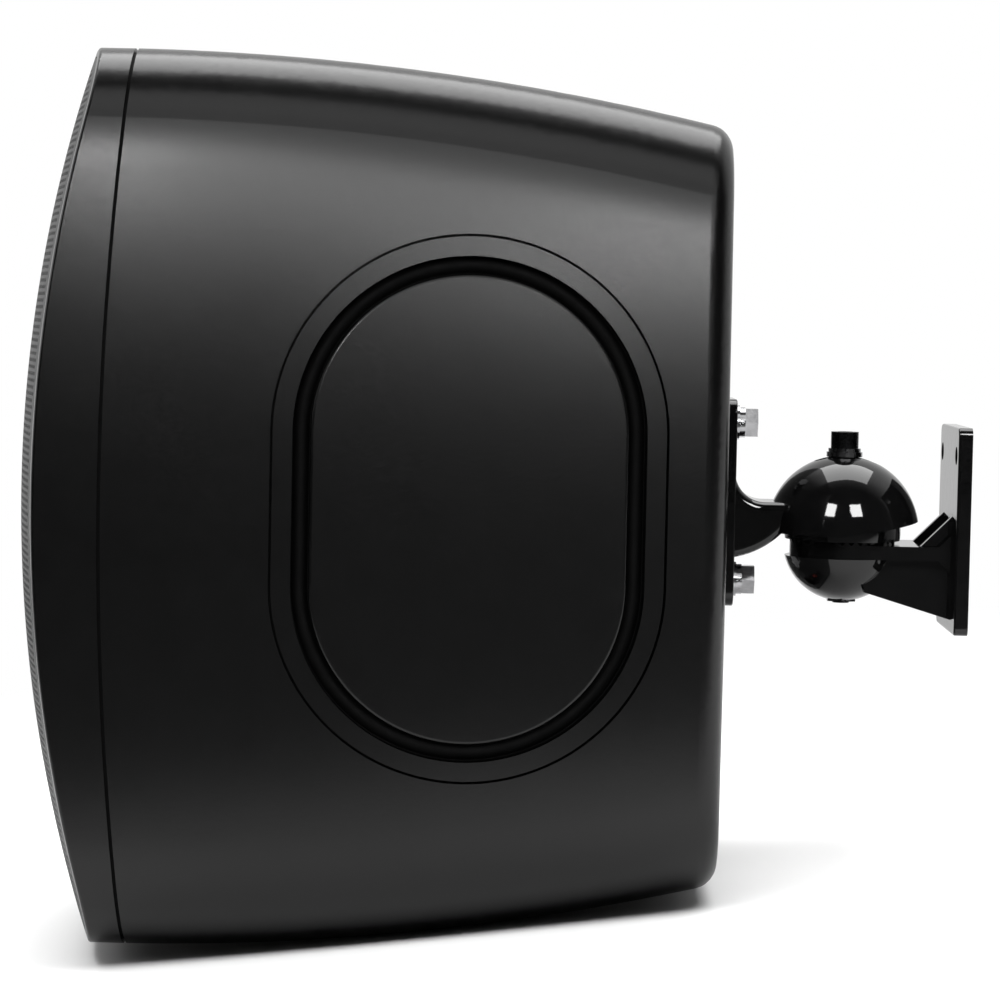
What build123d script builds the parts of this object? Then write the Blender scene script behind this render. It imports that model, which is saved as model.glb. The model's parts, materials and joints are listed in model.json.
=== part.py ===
from build123d import *
import math
import os

# Outdoor patio speaker on a ball-joint wall bracket, in millimetres.
# The wall is the plane Y = 0, the speaker faces -Y and +Z is up. The origin is the centre of the
# wall plate's back face, on the wall. The racetrack radiator is in the +X side.

# Clearances
running_gap = 0.3
hole_gap = 0.3
thread_gap = 0.05
seat_gap = 0.1

# How far a cutting body reaches past what it cuts
overreach = 1.3

# Small self-tapping screws
small_screw_d = 3.0
small_screw_head_d = 5.6
small_screw_head_h = 2.0

# Wall bracket
wall_plate_width = 54.0
wall_plate_height = 74.0
wall_plate_t = 5.0
wall_plate_corner_r = 3.0
wall_plate_edge_r = 0.8
wall_hole_d = 6.5
wall_hole_spacing_x = 41.0
wall_hole_spacing_z = 54.0
wall_arm_width = 37.0
wall_arm_t = 5.0
wall_arm_drop = 4.0
gusset_width = 29.0
gusset_leg = 8.0
rib_t = 3.0
rib_leg = 11.0
flare_leg = 5.0
web_t = 4.0
web_spacing = 25.0
web_wall_depth = 22.0
web_ball_depth = 12.0
web_start = 7.0
lower_ball_r = 21.4
ring_r = 19.0
tooth_count = 36
tooth_h = 1.0
tooth_length = 5.0
tooth_crest = 1.1

# Ball joint
pivot_reach = 43.0
pivot_z = -2.0
ball_r = 21.0
dome_t = 6.2
dome_rim_drop = 0.5
dome_rim_lean = 10.0
tilt_down = 20.0
tilt_up = 15.0
tilt_slot_gap = 0.6
clamp_d = 6.0
clamp_head_d = 10.0
clamp_head_h = 6.0
clamp_socket_d = 5.8
clamp_socket_h = 3.5
clamp_nut_af = 10.0
clamp_nut_h = 5.0
clamp_end_stand = 0.6
saddle_washer_d = 13.0
saddle_washer_t = 1.0
lock_washer_d = 11.8
lock_washer_t = 1.3
washer_slit = 0.9
washer_slit_angle = 25.0

# Speaker arm
arm_reach = 40.0
arm_plate_t = 3.0
arm_plate_width = 38.0
arm_plate_height = 74.4
arm_plate_corner_r = 6.0
arm_plate_edge_r = 0.6
arm_width = 28.0
arm_top_rise = 10.5
arm_top_sweep_r = 11.0
arm_root_drop = 10.1
arm_tip_rise = 1.0
arm_tip_lean = 4.3
arm_belly = 3.0
arm_edge_r = 3.0
mount_bolt_spacing = 57.0
mount_bolt_d = 6.0
mount_bolt_length = 22.0
mount_bolt_af = 10.0
mount_bolt_head_h = 4.6
flat_washer_d = 12.5
flat_washer_t = 1.6
spring_washer_d = 11.0
spring_washer_t = 2.0
insert_d = 9.0
insert_length = 14.0
insert_boss_d = 17.0

# Enclosure: half height and half width at the back, the middle, the seam and the front
axis_rise = 10.2
depth_to_middle = 106.0
depth_to_seam = 203.5
depth_to_front = 261.0
back_half_height = 130.7
middle_half_height = 148.4
seam_half_height = 154.0
front_half_height = 152.8
back_half_width = 86.0
middle_half_width = 96.3
seam_half_width = 100.0
front_half_width = 97.0
side_crown_r = 1200.0
long_edge_r = 28.0
back_edge_r = 9.0
least_edge_r = 2.0
wall = 4.0
pad_rise = 3.0
pad_margin = 2.0

# Front moulding
seam_bow_ahead = 11.6
seam_bow_height_r = 1250.0
seam_bow_width_r = 1000.0
seam_groove = 1.2
gasket_depth = 1.5
front_bow_ahead = 45.4
front_bow_height_r = 496.0
front_bow_width_r = 324.0
lip_t = 3.0
bezel_edge_r = 1.2
ledge_width = 9.0
ledge_depth = 9.0
panel_ahead = 10.0
panel_t = 10.0
tongue_t = 3.0
tongue_length = 8.0
baffle_screw_d = 4.0
baffle_screw_head_d = 7.6
baffle_screw_head_h = 2.6
baffle_screw_length = 24.0
baffle_boss_d = 11.0
baffle_boss_length = 30.0
baffle_screw_x = 81.0
baffle_screw_rows = (-100.0, 0.0, 100.0)

# Grille
grille_t = 1.2
grille_gap = 0.4
grille_hole_af = 9.0
grille_pitch = 17.5
grille_rim = 9.0

# Woofer
woofer_drop = 47.0
woofer_flange_r = 78.0
woofer_flange_t = 4.0
woofer_opening_r = 67.5
woofer_wall_t = 3.0
woofer_depth = 52.0
woofer_back_r = 47.0
woofer_back_t = 3.0
woofer_window_count = 6
woofer_window_width = 34.0
woofer_screw_count = 6
woofer_screw_circle_r = 74.0
woofer_screw_length = 12.0
spider_ledge = 9.0
spider_ledge_width = 6.0
spider_t = 1.2
spider_wave = 1.4
spider_waves = 4
cone_r = 60.5
cone_rim_width = 4.0
cone_t = 1.3
cone_depth = 24.0
cap_r = 21.0
cap_rise = 7.0
surround_t = 1.2
surround_roll_r = 4.5
surround_land = 2.4
coil_r = 19.0
coil_t = 0.8
coil_winding_t = 0.6
coil_winding_length = 15.0
coil_length = 39.5
coil_side_gap = 0.7
top_plate_r = 44.0
top_plate_t = 7.0
magnet_r = 48.0
magnet_bore_r = 25.0
magnet_t = 16.0
back_plate_t = 7.0
pole_vent_d = 10.0

# Tweeter
tweeter_rise = 89.0
tweeter_plate_r = 34.0
tweeter_plate_t = 4.0
tweeter_throat_r = 16.0
tweeter_mouth_r = 22.0
tweeter_motor_r = 25.0
tweeter_motor_length = 24.0
tweeter_opening_gap = 2.0
tweeter_dome_r = 12.5
tweeter_dome_rise = 5.0
tweeter_dome_t = 0.4
tweeter_coil_length = 6.0
tweeter_groove_gap = 0.8
tweeter_groove_depth = 9.0
tweeter_travel = 0.4
tweeter_surround_t = 0.6
tweeter_screw_count = 4
tweeter_screw_circle_r = 29.0

# Passive radiator
radiator_ahead = 87.0
radiator_width = 132.0
radiator_height = 183.4
radiator_frame_width = 6.5
radiator_frame_depth = 9.0
radiator_seam = 0.9
radiator_roll_width = 6.0
radiator_roll_t = 1.2
radiator_flange_width = 3.5
radiator_plate_t = 4.0
radiator_plate_sink = 0.6
radiator_rim_width = 4.0
radiator_edge_r = 1.2
radiator_backing_t = 5.0
radiator_backing_margin = 7.0

# Terminals
terminal_drop = 82.0
terminal_well_width = 62.0
terminal_well_height = 34.0
terminal_well_depth = 27.0
terminal_well_wall = 3.0
terminal_well_corner_r = 5.0
terminal_plate_t = 3.0
terminal_spacing = 19.05
terminal_post_d = 4.0
terminal_post_inside = 14.0
terminal_collar_d = 13.0
terminal_collar_h = 4.0
terminal_knob_d = 12.0
terminal_knob_h = 13.0
terminal_knob_flutes = 12
terminal_flute_d = 1.6
terminal_wire_gap = 1.0
terminal_nut_af = 7.0
terminal_nut_h = 3.2
terminal_screw_inset = 4.5
terminal_screw_length = 9.0

# Crossover
board_width = 92.0
board_height = 62.0
board_t = 1.6
board_rise = 72.0
board_standoff = 8.0
board_standoff_d = 8.0
board_hole_inset = 5.0
board_screw_length = 7.0
coil_sizes = ((40.0, 16.0, 18.0, -22.0, 6.0), (28.0, 11.0, 14.0, 26.0, 14.0))
capacitor_sizes = ((16.0, 34.0, 24.0, -8.0), (12.0, 28.0, 24.0, -23.0))
resistor_size = (22.0, 9.0, 9.0)
resistor_place = (-22.0, -22.0)

# Planes and levels worked out from the driving sizes
pivot_y = -pivot_reach
dome_inner_r = ball_r + running_gap
dome_r = dome_inner_r + dome_t
arm_plate_y = pivot_y - arm_reach
pad_y = arm_plate_y - arm_plate_t
back_y = pad_y - pad_rise
axis_z = pivot_z + axis_rise
seam_y = back_y - depth_to_seam
panel_front_y = seam_y - panel_ahead
panel_back_y = panel_front_y + panel_t
inner_back_y = back_y - wall
far_front_y = back_y - 2 * depth_to_front
woofer_z = axis_z - woofer_drop
tweeter_z = axis_z + tweeter_rise
ring_top_z = pivot_z - wall_arm_drop
ring_bottom_z = ring_top_z - wall_arm_t
tooth_tip_z = ring_top_z + tooth_h
lower_ball_z = ring_top_z
nut_bottom_z = lower_ball_z - lower_ball_r
saddle_top_z = pivot_z + dome_r + running_gap + saddle_washer_t
lock_top_z = saddle_top_z + lock_washer_t
frame_front_y = panel_front_y - woofer_flange_t
frame_back_y = frame_front_y + woofer_depth
magnet_front_y = frame_back_y + top_plate_t
magnet_back_y = magnet_front_y + magnet_t
mount_bolt_rows = (axis_z - mount_bolt_spacing / 2, axis_z + mount_bolt_spacing / 2)
board_z = axis_z + board_rise
board_back_y = inner_back_y - board_standoff
board_front_y = board_back_y - board_t
terminal_z = axis_z - terminal_drop
terminal_floor_y = back_y - terminal_well_depth
terminal_face_y = terminal_floor_y + terminal_plate_t

nodes = {}


# Shared shapes
def rod(radius, y_from, y_to, x=0.0, z=0.0):
    """A round bar along Y between two levels."""
    length = abs(y_to - y_from)
    place = Pos(x, (y_from + y_to) / 2, z) * Rot(90, 0, 0)
    return place * Cylinder(radius, length)


def pipe(outer_r, inner_r, y_from, y_to, x=0.0, z=0.0):
    """A round tube along Y."""
    return rod(outer_r, y_from, y_to, x, z) - rod(inner_r, y_from, y_to, x, z)


def post(radius, z_from, z_to, x=0.0, y=0.0):
    """A round bar along Z between two levels."""
    return Pos(x, y, (z_from + z_to) / 2) * Cylinder(radius, abs(z_to - z_from))


def block(x_span, y_span, z_span):
    """A box between three pairs of levels."""
    sizes = [high - low for low, high in (x_span, y_span, z_span)]
    middle = [(high + low) / 2 for low, high in (x_span, y_span, z_span)]
    return Pos(*middle) * Box(*sizes)


def turned(points, z=0.0):
    """A solid turned about the Y axis at height z, from (radius, y) corners."""
    corners = [Vector(radius, y, z) for radius, y in points]
    outline = Face(Wire.make_polygon(corners, close=True))
    return revolve(outline, axis=Axis((0, 0, z), (0, 1, 0)))


def turned_face(edges, z):
    """A solid turned about the Y axis at height z, from closed edges."""
    return revolve(Face(Wire(edges)), axis=Axis((0, 0, z), (0, 1, 0)))


def hexagon_bar(across_flats, y_from, y_to, x=0.0, z=0.0):
    """A hexagon bar along Y with two flats facing sideways."""
    outline = Plane.XZ * RegularPolygon(across_flats / 2, 6, major_radius=False)
    turned_outline = Pos(x, y_from, z) * outline
    return extrude(turned_outline, amount=y_to - y_from, dir=(0, 1, 0))


def on_circle(count, radius, z, start=0.0):
    """Places on a circle in an upright plane, as (x, z)."""
    angles = [math.radians(start + 360 * n / count) for n in range(count)]
    return [(radius * math.cos(a), z + radius * math.sin(a)) for a in angles]


def screw(x, z, seat_y, shank_d, head_d, head_h, length):
    """A pan-head screw that enters towards +Y from its seat."""
    head = rod(head_d / 2, seat_y - head_h, seat_y, x, z)
    return head + rod(shank_d / 2, seat_y, seat_y + length, x, z)


def screw_from_behind(x, z, seat_y, shank_d, head_d, head_h, length):
    """A pan-head screw that enters towards -Y from its seat."""
    head = rod(head_d / 2, seat_y, seat_y + head_h, x, z)
    return head + rod(shank_d / 2, seat_y - length, seat_y, x, z)


def group(solids):
    return Compound(children=list(solids))


# Enclosure surfaces
def enclosure(inset):
    """The tapered, crowned and round-edged body, with every wall moved inwards by inset."""
    levels = [back_y - inset] + [back_y - d for d in (depth_to_middle, depth_to_seam, depth_to_front)]
    heights = [back_half_height, middle_half_height, seam_half_height, front_half_height]
    widths = [back_half_width, middle_half_width, seam_half_width, front_half_width]
    reach = seam_half_width * overreach
    top = Edge.make_spline([Vector(-reach, y, axis_z + h - inset) for y, h in zip(levels, heights)])
    bottom = Edge.make_spline([Vector(-reach, y, axis_z - h + inset) for y, h in zip(levels, heights)])
    back = Edge.make_line(top @ 0, bottom @ 0)
    front = Edge.make_line(top @ 1, bottom @ 1)
    slab = extrude(Face(Wire([top, bottom, back, front])), amount=2 * reach, dir=(1, 0, 0))

    side = Edge.make_spline([Vector(w - inset, y, axis_z) for y, w in zip(levels, widths)])
    inner_back = Vector(-reach, levels[0], axis_z)
    inner_front = Vector(-reach, levels[-1], axis_z)
    plan = Face(
        Wire(
            [
                side,
                Edge.make_line(side @ 0, inner_back),
                Edge.make_line(inner_back, inner_front),
                Edge.make_line(inner_front, side @ 1),
            ]
        )
    )
    crown_axis = Axis((seam_half_width - side_crown_r, 0, axis_z), (0, 1, 0))
    half_angle = math.degrees(math.asin(overreach * seam_half_height / (side_crown_r - 2 * reach)))
    right = revolve(plan.rotate(crown_axis, -half_angle), axis=crown_axis, revolution_arc=2 * half_angle)
    body = slab & right & right.mirror(Plane.YZ)

    long_edges = [e for e in body.edges() if e.bounding_box().size.Y > depth_to_middle]
    body = fillet(long_edges, max(long_edge_r - inset, least_edge_r))
    back_edges = [e for e in body.edges() if e.bounding_box().min.Y > levels[0] - seat_gap]
    return fillet(back_edges, max(back_edge_r - inset, least_edge_r))


def ahead_of(apex_y, height_r, width_r):
    """All that lies in front of a surface bowed in height and in width."""
    reach = seam_half_width * overreach
    sag = width_r - math.sqrt(width_r**2 - reach**2)
    left = Vector(-reach, apex_y + sag, axis_z)
    right = Vector(reach, apex_y + sag, axis_z)
    far_left = Vector(-reach, far_front_y, axis_z)
    far_right = Vector(reach, far_front_y, axis_z)
    plan = Face(
        Wire(
            [
                Edge.make_three_point_arc(left, Vector(0, apex_y, axis_z), right),
                Edge.make_line(right, far_right),
                Edge.make_line(far_right, far_left),
                Edge.make_line(far_left, left),
            ]
        )
    )
    bow_axis = Axis((0, apex_y + height_r, axis_z), (1, 0, 0))
    half_angle = math.degrees(math.asin(overreach * seam_half_height / (height_r - sag)))
    return revolve(plan.rotate(bow_axis, -half_angle), axis=bow_axis, revolution_arc=2 * half_angle)


def ahead_of_seam(shift=0.0):
    return ahead_of(seam_y - seam_bow_ahead + shift, seam_bow_height_r, seam_bow_width_r)


def ahead_of_front(shift=0.0):
    apex_y = seam_y - front_bow_ahead + shift
    return ahead_of(apex_y, front_bow_height_r - shift, front_bow_width_r - shift)


outer_body = enclosure(0.0)
inner_body = enclosure(wall)


# Passive radiator, in a plane of its own on the +X side: local X up, local Z outwards
def radiator_plane():
    aim = Axis((0, back_y - radiator_ahead, axis_z), (1, 0, 0))
    hits = [hit for face in outer_body.faces() for hit in face.find_intersection_points(aim)]
    point, normal = max(hits, key=lambda hit: hit[0].X)
    return Plane(origin=point, x_dir=(0, 0, 1), z_dir=normal)


side_plane = radiator_plane()


def racetrack(inset, low, high):
    """An upright racetrack prism on the side, smaller than the radiator by inset all round."""
    outline = SlotOverall(radiator_height - 2 * inset, radiator_width - 2 * inset)
    return side_plane * (Pos(0, 0, low) * extrude(outline, amount=high - low))


def make_radiator():
    proud = radiator_frame_depth
    inner = radiator_frame_width
    plate = inner + radiator_roll_width
    frame = racetrack(0, -radiator_frame_depth, proud) - racetrack(inner, -radiator_frame_depth, proud)
    nodes["radiator_frame"] = frame & outer_body

    sunk_body = enclosure(radiator_plate_sink)
    hollow = enclosure(radiator_plate_sink + radiator_plate_t)
    rim = racetrack(plate, -radiator_frame_depth, proud)
    core = racetrack(plate + radiator_rim_width, -radiator_frame_depth, proud)
    diaphragm = (rim & sunk_body) - (core & hollow)
    outer_face = diaphragm.faces().sort_by(SortBy.AREA)[-1]
    nodes["radiator_diaphragm"] = diaphragm.fillet(radiator_edge_r, outer_face.edges())

    lap_low = -radiator_frame_depth - radiator_roll_t
    flange_inset = inner - radiator_flange_width
    lap = racetrack(flange_inset, lap_low, -radiator_frame_depth)
    lap -= racetrack(plate + radiator_flange_width, lap_low, -radiator_frame_depth)
    feet_inset = radiator_roll_t
    lap -= racetrack(inner + feet_inset, lap_low, -radiator_frame_depth) - racetrack(
        plate - feet_inset, lap_low, -radiator_frame_depth
    )
    roll_r = radiator_roll_width / 2
    path = side_plane * (Pos(0, 0, lap_low) * SlotOverall(
        radiator_height - 2 * (inner + roll_r), radiator_width - 2 * (inner + roll_r)
    ).wire())
    start = path @ 0
    section_plane = Plane(origin=start, x_dir=side_plane.z_dir.cross(path % 0), z_dir=path % 0)
    ring = Circle(roll_r) - Circle(roll_r - radiator_roll_t)
    upper = ring & Pos(0, roll_r) * Rectangle(4 * roll_r, 2 * roll_r)
    nodes["radiator_surround"] = lap + sweep(section_plane * upper, path=path)


make_radiator()


# Cabinet
def baffle_screw_places():
    return [(side * baffle_screw_x, axis_z + row) for side in (-1, 1) for row in baffle_screw_rows]


def board_screw_places():
    x = board_width / 2 - board_hole_inset
    z = board_height / 2 - board_hole_inset
    return [(i * x, board_z + k * z) for i in (-1, 1) for k in (-1, 1)]


def terminal_screw_places():
    x = terminal_well_width / 2 - terminal_screw_inset
    z = terminal_well_height / 2 - terminal_screw_inset
    return [(i * x, terminal_z + k * z) for i in (-1, 1) for k in (-1, 1)]


def terminal_prism(margin, y_from, y_to):
    """A round-cornered prism along Y, larger than the terminal well by margin all round."""
    width = terminal_well_width + 2 * margin
    height = terminal_well_height + 2 * margin
    outline = RectangleRounded(width, height, terminal_well_corner_r + margin)
    return Pos(0, y_to, terminal_z) * Rot(90, 0, 0) * extrude(outline, amount=y_to - y_from)


def terminal_places():
    return [(side * terminal_spacing / 2, terminal_z) for side in (-1, 1)]


def make_cabinet():
    shell = outer_body - inner_body - ahead_of_seam()

    pad_sketch = RectangleRounded(
        arm_plate_width + 2 * pad_margin, arm_plate_height + 2 * pad_margin, arm_plate_corner_r + pad_margin
    )
    pad = Pos(0, pad_y, axis_z) * Rot(90, 0, 0) * extrude(pad_sketch, amount=pad_rise + wall / 2)
    shell += pad

    backing_low = -radiator_frame_depth - radiator_roll_t - radiator_backing_t
    backing = racetrack(-radiator_backing_margin, backing_low, radiator_frame_depth) & outer_body
    shell += backing
    shell -= racetrack(-radiator_seam, -radiator_frame_depth, radiator_frame_depth)
    flange_inset = radiator_frame_width - radiator_flange_width - hole_gap
    shell -= racetrack(flange_inset, -radiator_frame_depth - radiator_roll_t, radiator_frame_depth)
    shell -= racetrack(radiator_frame_width, backing_low, radiator_frame_depth)

    for z in mount_bolt_rows:
        shell += rod(insert_boss_d / 2, inner_back_y - insert_length, inner_back_y + wall / 2, 0, z)
    for z in mount_bolt_rows:
        shell -= rod(insert_d / 2, pad_y - insert_length, pad_y, 0, z)
        tip_y = arm_plate_y + flat_washer_t + spring_washer_t - mount_bolt_length
        shell -= rod(mount_bolt_d / 2 + hole_gap, tip_y - hole_gap, pad_y, 0, z)

    boss_r = baffle_boss_d / 2
    for x, z in baffle_screw_places():
        boss = rod(boss_r, panel_back_y, panel_back_y + baffle_boss_length, x, z)
        outwards = math.copysign(seam_half_width, x)
        rib = block(
            (min(x, outwards), max(x, outwards)),
            (panel_back_y + tongue_length + hole_gap, panel_back_y + baffle_boss_length),
            (z - boss_r / 2, z + boss_r / 2),
        )
        shell += (boss + rib) & enclosure(wall / 2)
    for x, z in baffle_screw_places():
        shell -= rod(baffle_screw_d / 2, panel_back_y, panel_front_y + baffle_screw_length, x, z)

    for x, z in board_screw_places():
        shell += rod(board_standoff_d / 2, board_back_y, inner_back_y + wall / 2, x, z)
    for x, z in board_screw_places():
        shell -= rod(small_screw_d / 2, board_back_y, board_front_y + board_screw_length, x, z)

    shell += terminal_prism(terminal_well_wall, terminal_floor_y - terminal_well_wall, back_y - wall / 2)
    shell -= terminal_prism(0, terminal_floor_y, back_y)
    boss_y = terminal_face_y - terminal_screw_length
    for x, z in terminal_screw_places():
        shell += rod(board_standoff_d / 2, boss_y, terminal_floor_y - terminal_well_wall / 2, x, z)
        shell -= rod(small_screw_d / 2, boss_y, terminal_floor_y, x, z)
    for x, z in terminal_places():
        shell -= rod(terminal_post_d / 2, terminal_floor_y - terminal_well_wall, terminal_floor_y, x, z)
    nodes["cabinet"] = shell


make_cabinet()


# Front: baffle, bezel, gasket and grille
def slice_y(y_from, y_to):
    """A slab across the whole part between two Y levels."""
    reach = 2 * seam_half_height
    return block((-reach, reach), (y_from, y_to), (axis_z - reach, axis_z + reach))


def make_front():
    tray_inset = lip_t + grille_gap + grille_t + hole_gap
    tongue_back_y = panel_back_y + tongue_length
    holes = [(woofer_opening_r + hole_gap, 0, woofer_z)]
    holes += [(tweeter_motor_r + tweeter_opening_gap, 0, tweeter_z)]
    holes += [(baffle_screw_d / 2 + hole_gap, x, z) for x, z in baffle_screw_places()]
    holes += [(small_screw_d / 2, x, z) for x, z in woofer_screw_places() + tweeter_screw_places()]
    panel = enclosure(tray_inset) & slice_y(panel_front_y, tongue_back_y)
    panel -= enclosure(tray_inset + tongue_t) & slice_y(panel_back_y, tongue_back_y)
    nodes["front_baffle"] = panel - [rod(r, panel_front_y, panel_back_y, x, z) for r, x, z in holes]

    bezel = outer_body & ahead_of_seam(-seam_groove)
    bezel -= enclosure(wall + hole_gap) & slice_y(panel_front_y, tongue_back_y)
    bezel -= enclosure(ledge_width) & slice_y(far_front_y, panel_front_y)
    bezel -= ahead_of_front()
    bezel -= enclosure(lip_t) & ahead_of_front(ledge_depth)
    front_face = bezel.faces().sort_by(Axis.Y)[0]
    nodes["front_bezel"] = bezel.fillet(bezel_edge_r, front_face.outer_wire().edges())

    ring = enclosure(gasket_depth) - enclosure(wall)
    nodes["baffle_gasket"] = (ring & ahead_of_seam()) - ahead_of_seam(-seam_groove)
    head = (baffle_screw_head_d, baffle_screw_head_h)
    nodes["baffle_screws"] = group(
        screw(x, z, panel_front_y, baffle_screw_d, *head, baffle_screw_length)
        for x, z in baffle_screw_places()
    )


def grille_hole_places():
    """A hexagonal grid of places that stay inside the grille's rim."""
    row_step = grille_pitch * math.sqrt(3) / 2
    rows = int(seam_half_height / row_step)
    columns = int(seam_half_width / grille_pitch) + 1
    margin = lip_t + grille_gap + grille_rim + grille_hole_af / 2
    places = []
    for row in range(-rows, rows + 1):
        z = row * row_step
        half_width = front_half_width - z**2 / (2 * side_crown_r)
        for column in range(-columns, columns + 1):
            x = (column + 0.5 * (row % 2)) * grille_pitch
            past_x = abs(x) - half_width + long_edge_r
            past_z = abs(z) - front_half_height + long_edge_r
            from_edge = long_edge_r - max(past_x, past_z)
            if past_x > 0 and past_z > 0:
                from_edge = long_edge_r - math.hypot(past_x, past_z)
            if from_edge > margin:
                places.append((x, axis_z + z))
    return places


def make_grille():
    skirt = enclosure(lip_t + grille_gap)
    inside = enclosure(lip_t + grille_gap + grille_t)
    sheet = (skirt & ahead_of_front(ledge_depth - seat_gap)) - ahead_of_front()
    sheet -= (inside & ahead_of_front(ledge_depth)) - ahead_of_front(grille_t)
    front_y = back_y - depth_to_front
    holes = [hexagon_bar(grille_hole_af, front_y, panel_front_y, x, z) for x, z in grille_hole_places()]
    nodes["grille"] = sheet - holes


# Woofer
def woofer_screw_places():
    return on_circle(woofer_screw_count, woofer_screw_circle_r, woofer_z, 180 / woofer_screw_count)


def tweeter_screw_places():
    return on_circle(tweeter_screw_count, tweeter_screw_circle_r, tweeter_z, 180 / tweeter_screw_count)


def cap_arc(base_r, rise, base_y, z):
    """The arc of a shallow dome from its rim to its crown, bulging to the front."""
    sphere_r = (base_r**2 + rise**2) / (2 * rise)
    half_angle = math.asin(base_r / sphere_r) / 2
    centre_y = base_y - rise + sphere_r
    middle = Vector(sphere_r * math.sin(half_angle), centre_y - sphere_r * math.cos(half_angle), z)
    return Edge.make_three_point_arc(Vector(base_r, base_y, z), middle, Vector(0, base_y - rise, z))


def make_woofer_frame():
    bore_r = coil_r + coil_winding_t + coil_side_gap
    ledge_y = frame_back_y - woofer_back_t - spider_ledge
    shoulder_r = woofer_back_r + woofer_wall_t
    ledge_r = woofer_back_r - spider_ledge_width
    inside_r = woofer_opening_r - woofer_wall_t
    frame = turned(
        [
            (woofer_flange_r, frame_front_y),
            (woofer_flange_r, panel_front_y),
            (woofer_opening_r, panel_front_y),
            (shoulder_r, ledge_y),
            (woofer_back_r, frame_back_y),
            (bore_r, frame_back_y),
            (bore_r, frame_back_y - woofer_back_t),
            (ledge_r, frame_back_y - woofer_back_t),
            (ledge_r, ledge_y),
            (shoulder_r - woofer_wall_t, ledge_y),
            (inside_r, panel_front_y),
            (inside_r, frame_front_y),
        ],
        woofer_z,
    )
    window = block(
        (-woofer_window_width / 2, woofer_window_width / 2),
        (panel_back_y + woofer_wall_t, ledge_y - woofer_wall_t),
        (ledge_r, woofer_flange_r),
    )
    for n in range(woofer_window_count):
        frame -= Pos(0, 0, woofer_z) * Rot(0, 360 * n / woofer_window_count, 0) * window
    for x, z in woofer_screw_places():
        frame -= rod(small_screw_d / 2 + hole_gap, frame_front_y, panel_front_y, x, z)
    nodes["woofer_frame"] = frame

    land_r = shoulder_r - woofer_wall_t - running_gap
    inner_r = coil_r + running_gap
    step = (ledge_r - inner_r) / (2 * spider_waves)
    ripple = [(inner_r + n * step, ledge_y - spider_wave * (n % 2)) for n in range(2 * spider_waves)]
    back = ripple + [(ledge_r, ledge_y), (land_r, ledge_y)]
    front = [(r, y - spider_t) for r, y in reversed(back)]
    nodes["woofer_spider"] = turned(back + front, woofer_z)

    nodes["woofer_screws"] = group(
        screw(x, z, frame_front_y, small_screw_d, small_screw_head_d, small_screw_head_h, woofer_screw_length)
        for x, z in woofer_screw_places()
    )


def make_woofer_motor():
    bore_r = coil_r + coil_winding_t + coil_side_gap
    pole_r = coil_r - coil_t - coil_side_gap
    nodes["woofer_top_plate"] = pipe(top_plate_r, bore_r, frame_back_y, magnet_front_y, 0, woofer_z)
    nodes["woofer_magnet"] = pipe(magnet_r, magnet_bore_r, magnet_front_y, magnet_back_y, 0, woofer_z)
    yoke_back_y = magnet_back_y + back_plate_t
    yoke = rod(top_plate_r, magnet_back_y, yoke_back_y, 0, woofer_z)
    yoke += rod(pole_r, frame_back_y, magnet_back_y, 0, woofer_z)
    nodes["woofer_back_plate"] = yoke - rod(pole_vent_d / 2, frame_back_y, yoke_back_y, 0, woofer_z)


def make_woofer_cone():
    neck_y = frame_front_y + cone_depth
    rim_r = cone_r - cone_rim_width
    nodes["woofer_cone"] = turned(
        [
            (coil_r, neck_y),
            (rim_r, frame_front_y),
            (cone_r, frame_front_y),
            (cone_r, frame_front_y + cone_t),
            (rim_r + cone_t / 2, frame_front_y + cone_t),
            (coil_r, neck_y + cone_t),
        ],
        woofer_z,
    )

    winding_y = frame_back_y + top_plate_t / 2
    coil_back_y = winding_y + coil_winding_length / 2
    former = pipe(coil_r, coil_r - coil_t, coil_back_y - coil_length, coil_back_y, 0, woofer_z)
    winding_start_y = coil_back_y - coil_winding_length
    winding = pipe(coil_r + coil_winding_t, coil_r - coil_t / 2, winding_start_y, coil_back_y, 0, woofer_z)
    nodes["woofer_voice_coil"] = former + winding

    slope = cone_depth / (rim_r - coil_r)
    rim_y = neck_y - slope * (cap_r - coil_r) - seat_gap
    inner_r = cap_r - cone_t
    outer = cap_arc(cap_r, cap_rise, rim_y, woofer_z)
    inner = cap_arc(inner_r, cap_rise - cone_t, rim_y, woofer_z)
    cap_edges = [outer, inner, Edge.make_line(outer @ 0, inner @ 0), Edge.make_line(outer @ 1, inner @ 1)]
    nodes["woofer_dust_cap"] = turned_face(cap_edges, woofer_z)

    centre_r = (cone_r + woofer_opening_r - woofer_wall_t) / 2
    land_y = frame_front_y - surround_t
    outer_half = math.sqrt(surround_roll_r**2 - surround_t**2)
    inner_roll_r = surround_roll_r - surround_t
    reach = surround_roll_r + surround_land

    def at(offset, y):
        return Vector(centre_r + offset, y, woofer_z)

    roll_top = Edge.make_three_point_arc(
        at(-outer_half, land_y), at(0, frame_front_y - surround_roll_r), at(outer_half, land_y)
    )
    roll_under = Edge.make_three_point_arc(
        at(inner_roll_r, frame_front_y), at(0, frame_front_y - inner_roll_r), at(-inner_roll_r, frame_front_y)
    )
    lands = [
        Edge.make_line(at(outer_half, land_y), at(reach, land_y)),
        Edge.make_line(at(reach, land_y), at(reach, frame_front_y)),
        Edge.make_line(at(reach, frame_front_y), at(inner_roll_r, frame_front_y)),
        Edge.make_line(at(-inner_roll_r, frame_front_y), at(-reach, frame_front_y)),
        Edge.make_line(at(-reach, frame_front_y), at(-reach, land_y)),
        Edge.make_line(at(-reach, land_y), at(-outer_half, land_y)),
    ]
    nodes["woofer_surround"] = turned_face([roll_top, roll_under] + lands, woofer_z)


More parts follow.
